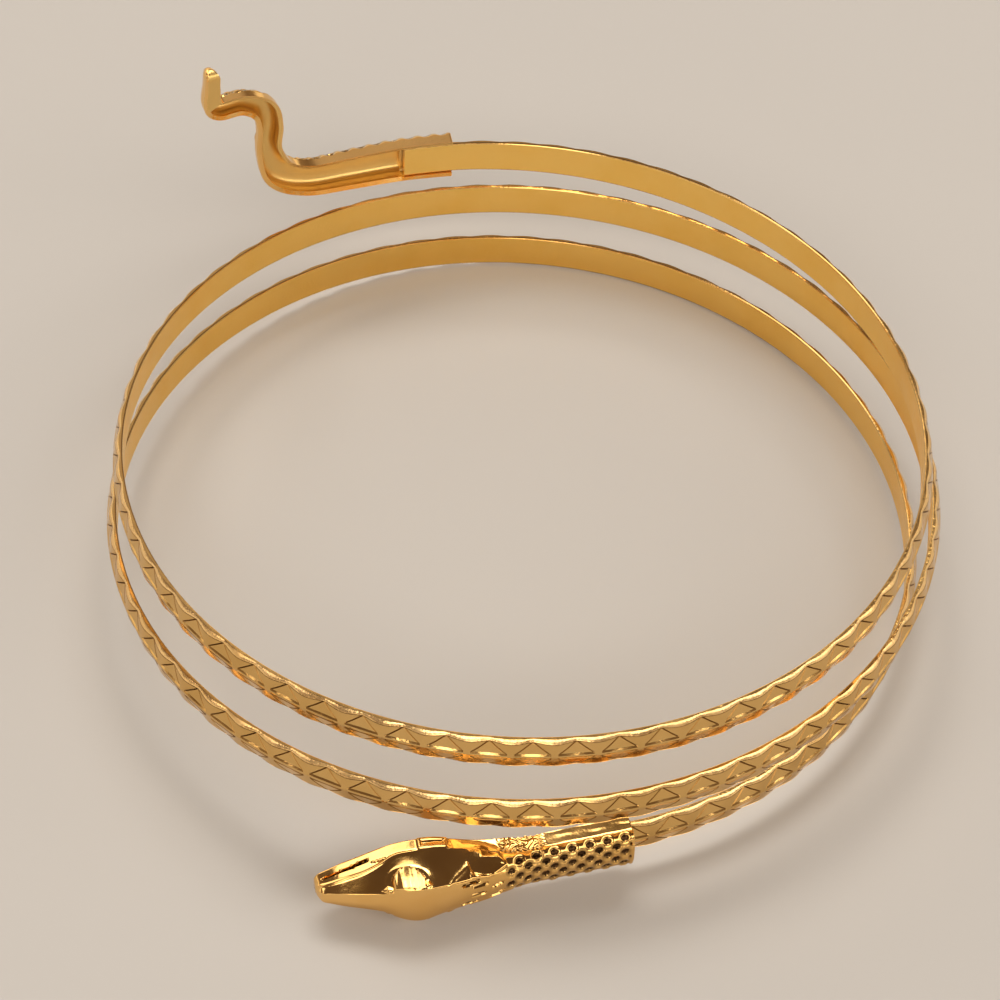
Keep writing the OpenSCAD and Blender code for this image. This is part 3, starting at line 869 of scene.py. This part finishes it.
def make_tail():
    grid, hollow_end = tail_rings()
    outer, middle = 2 * sum(TAIL_COUNTS) + 1, sum(TAIL_COUNTS)
    grid[:, :outer, 1] -= lip_nicks(grid[:, :1, 0], outer, hollow_end)
    bent = grid[:, :, [3, 1, 4]]
    at, w, h = (grid[:, :outer, k] for k in (0, 1, 2))
    s = distance_round(w, h, middle)
    lip_s = s[:, TAIL_COUNTS[0]][:, None]
    on_top = np.abs(np.arange(outer) - middle) > TAIL_COUNTS[2] + TAIL_COUNTS[1]
    from_start = smooth((at - 0.25) / 0.15)
    fade = smooth((lip_s - np.abs(s)) / 0.25 + 0.3) * ~on_top * from_start * smooth((hollow_end - at) / 1.0)
    relief, recess = np.zeros(grid.shape[:2]), np.zeros(grid.shape[:2])
    # the honeycomb's bowls and pits, and the painted shade in them
    relief[:, :outer], recess[:, :outer] = honeycomb(at, s, FIRST_CELL, hollow_end, 3, fade)
    relief[:, :outer] += BEAD_RISE * ridge(w - INNER - BEAD_AT, 0.09) * on_top * (s < 0) * from_start
    bent = bent + relief[:, :, None] * square_to(bent)
    laid = np.array([[in_tail(*p) for p in ring] for ring in bent])
    in_hollow = np.repeat([np.arange(grid.shape[1]) > outer], len(grid), 0)
    piece = wrapped("tail", laid, recess=recess, hollow=in_hollow)
    cast_and_lay(piece)
    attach(piece, "root")
    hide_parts("tail")
    return piece


# The table, the light and the camera

def make_table():
    let_go()
    bpy.ops.mesh.primitive_plane_add(size=3, location=(0, 0, 0))
    table = named("table")
    finish = bpy.data.materials.new("pale_table")
    finish.use_nodes = True
    shader = finish.node_tree.nodes["Principled BSDF"]
    shader.inputs["Base Color"].default_value = (0.535, 0.515, 0.50, 1)
    shader.inputs["Roughness"].default_value = 0.75
    table.data.materials.append(finish)


# Shade of the room by the sine of the height above the horizon: a pale band low down, brown overhead
SHADES = [
    (0.00, (0.80, 0.70, 0.58)),
    (0.04, (1.05, 0.94, 0.77)),
    (0.13, (1.05, 0.94, 0.77)),
    (0.22, (0.26, 0.19, 0.135)),
    (0.60, (0.15, 0.105, 0.08)),
    (1.00, (0.10, 0.068, 0.050)),
]
# Soft glows: compass turn from +X, height, half angles where they are full and where they end, colour
GLOWS = [
    (72, 58, 7, 13, (7.2, 6.9, 6.3)),
    (108, 58, 7, 13, (7.2, 6.9, 6.3)),
    (142, 59, 8, 14, (2.6, 2.4, 2.1)),
    (138, 27, 9, 18, (1.8, 1.65, 1.4)),
    (110, 28, 8, 30, (0.40, 0.37, 0.35)),
    (-90, 46, 9, 16, (3.4, 3.2, 2.8)),
    (-110, 41, 6, 11, (3.4, 3.2, 2.8)),
    (-92, 12, 8, 15, (2.4, 2.2, 1.9)),
    (-60, 46, 5, 13, (3.0, 2.8, 2.5)),
    (-38, 41, 5, 13, (3.0, 2.8, 2.5)),
    (-20, 32, 5, 13, (3.0, 2.8, 2.5)),
    (0, 22, 5, 13, (2.6, 2.4, 2.1)),
    (-158, 34, 5, 13, (2.2, 2.0, 1.8)),
]


def make_light():
    world = bpy.data.worlds.new("studio")
    bpy.context.scene.world = world
    world.use_nodes = True
    nodes, links = world.node_tree.nodes, world.node_tree.links
    nodes.clear()
    way = nodes.new("ShaderNodeTexCoord").outputs["Generated"]
    split = nodes.new("ShaderNodeSeparateXYZ")
    ramp = nodes.new("ShaderNodeValToRGB")
    back = nodes.new("ShaderNodeBackground")
    out = nodes.new("ShaderNodeOutputWorld")
    links.new(way, split.inputs["Vector"])
    links.new(split.outputs["Z"], ramp.inputs["Fac"])
    links.new(back.outputs["Background"], out.inputs["Surface"])
    shades = ramp.color_ramp.elements
    shades[0].position, shades[1].position = SHADES[0][0], SHADES[-1][0]
    shades[0].color, shades[1].color = (*SHADES[0][1], 1), (*SHADES[-1][1], 1)
    for at, shade in SHADES[1:-1]:
        shades.new(at).color = (*shade, 1)
    sum_so_far = ramp.outputs["Color"]
    for turn, height, inner, outer, glow in GLOWS:
        turn, height = math.radians(turn), math.radians(height)
        near = nodes.new("ShaderNodeVectorMath")
        near.operation = "DOT_PRODUCT"
        near.inputs[1].default_value = (math.cos(height) * math.cos(turn), math.cos(height) * math.sin(turn),
                                        math.sin(height))
        links.new(way, near.inputs[0])
        edge = nodes.new("ShaderNodeMapRange")
        edge.interpolation_type = "SMOOTHSTEP"
        edge.inputs["From Min"].default_value = math.cos(math.radians(outer))
        edge.inputs["From Max"].default_value = math.cos(math.radians(inner))
        links.new(near.outputs["Value"], edge.inputs["Value"])
        tinted = nodes.new("ShaderNodeVectorMath")
        tinted.operation = "SCALE"
        tinted.inputs[0].default_value = glow
        links.new(edge.outputs["Result"], tinted.inputs["Scale"])
        total = nodes.new("ShaderNodeVectorMath")
        total.operation = "ADD"
        links.new(sum_so_far, total.inputs[0])
        links.new(tinted.outputs["Vector"], total.inputs[1])
        sum_so_far = total.outputs["Vector"]
    links.new(sum_so_far, back.inputs["Color"])
    back.inputs["Strength"].default_value = 1.0
    bpy.context.scene.view_settings.view_transform = "Standard"


# The photo's camera, in millimetres, millimetres of lens and degrees
CAMERA_PLACE, CAMERA_TARGET = (-3.72, -230.92, 282.73), (-2.272, 2.853, 6.104)
CAMERA_LENS, CAMERA_ROLL = 133.3, 3.49


def make_camera():
    lens = bpy.data.cameras.new("camera")
    lens.lens = CAMERA_LENS
    lens.sensor_width = 36
    camera = bpy.data.objects.new("camera", lens)
    bpy.context.collection.objects.link(camera)
    place = Vector(CAMERA_PLACE) / 1000
    target = Vector(CAMERA_TARGET) / 1000
    back = (place - target).normalized()
    right = Vector((0, 0, 1)).cross(back).normalized()
    up = back.cross(right)
    roll = math.radians(CAMERA_ROLL)
    across = math.cos(roll) * right + math.sin(roll) * up
    upright = -math.sin(roll) * right + math.cos(roll) * up
    camera.matrix_world = Matrix.Translation(place) @ Matrix((across, upright, back)).transposed().to_4x4()
    bpy.context.scene.camera = camera


make_camera()
make_table()
make_light()
make_band()
make_head()
make_tail()
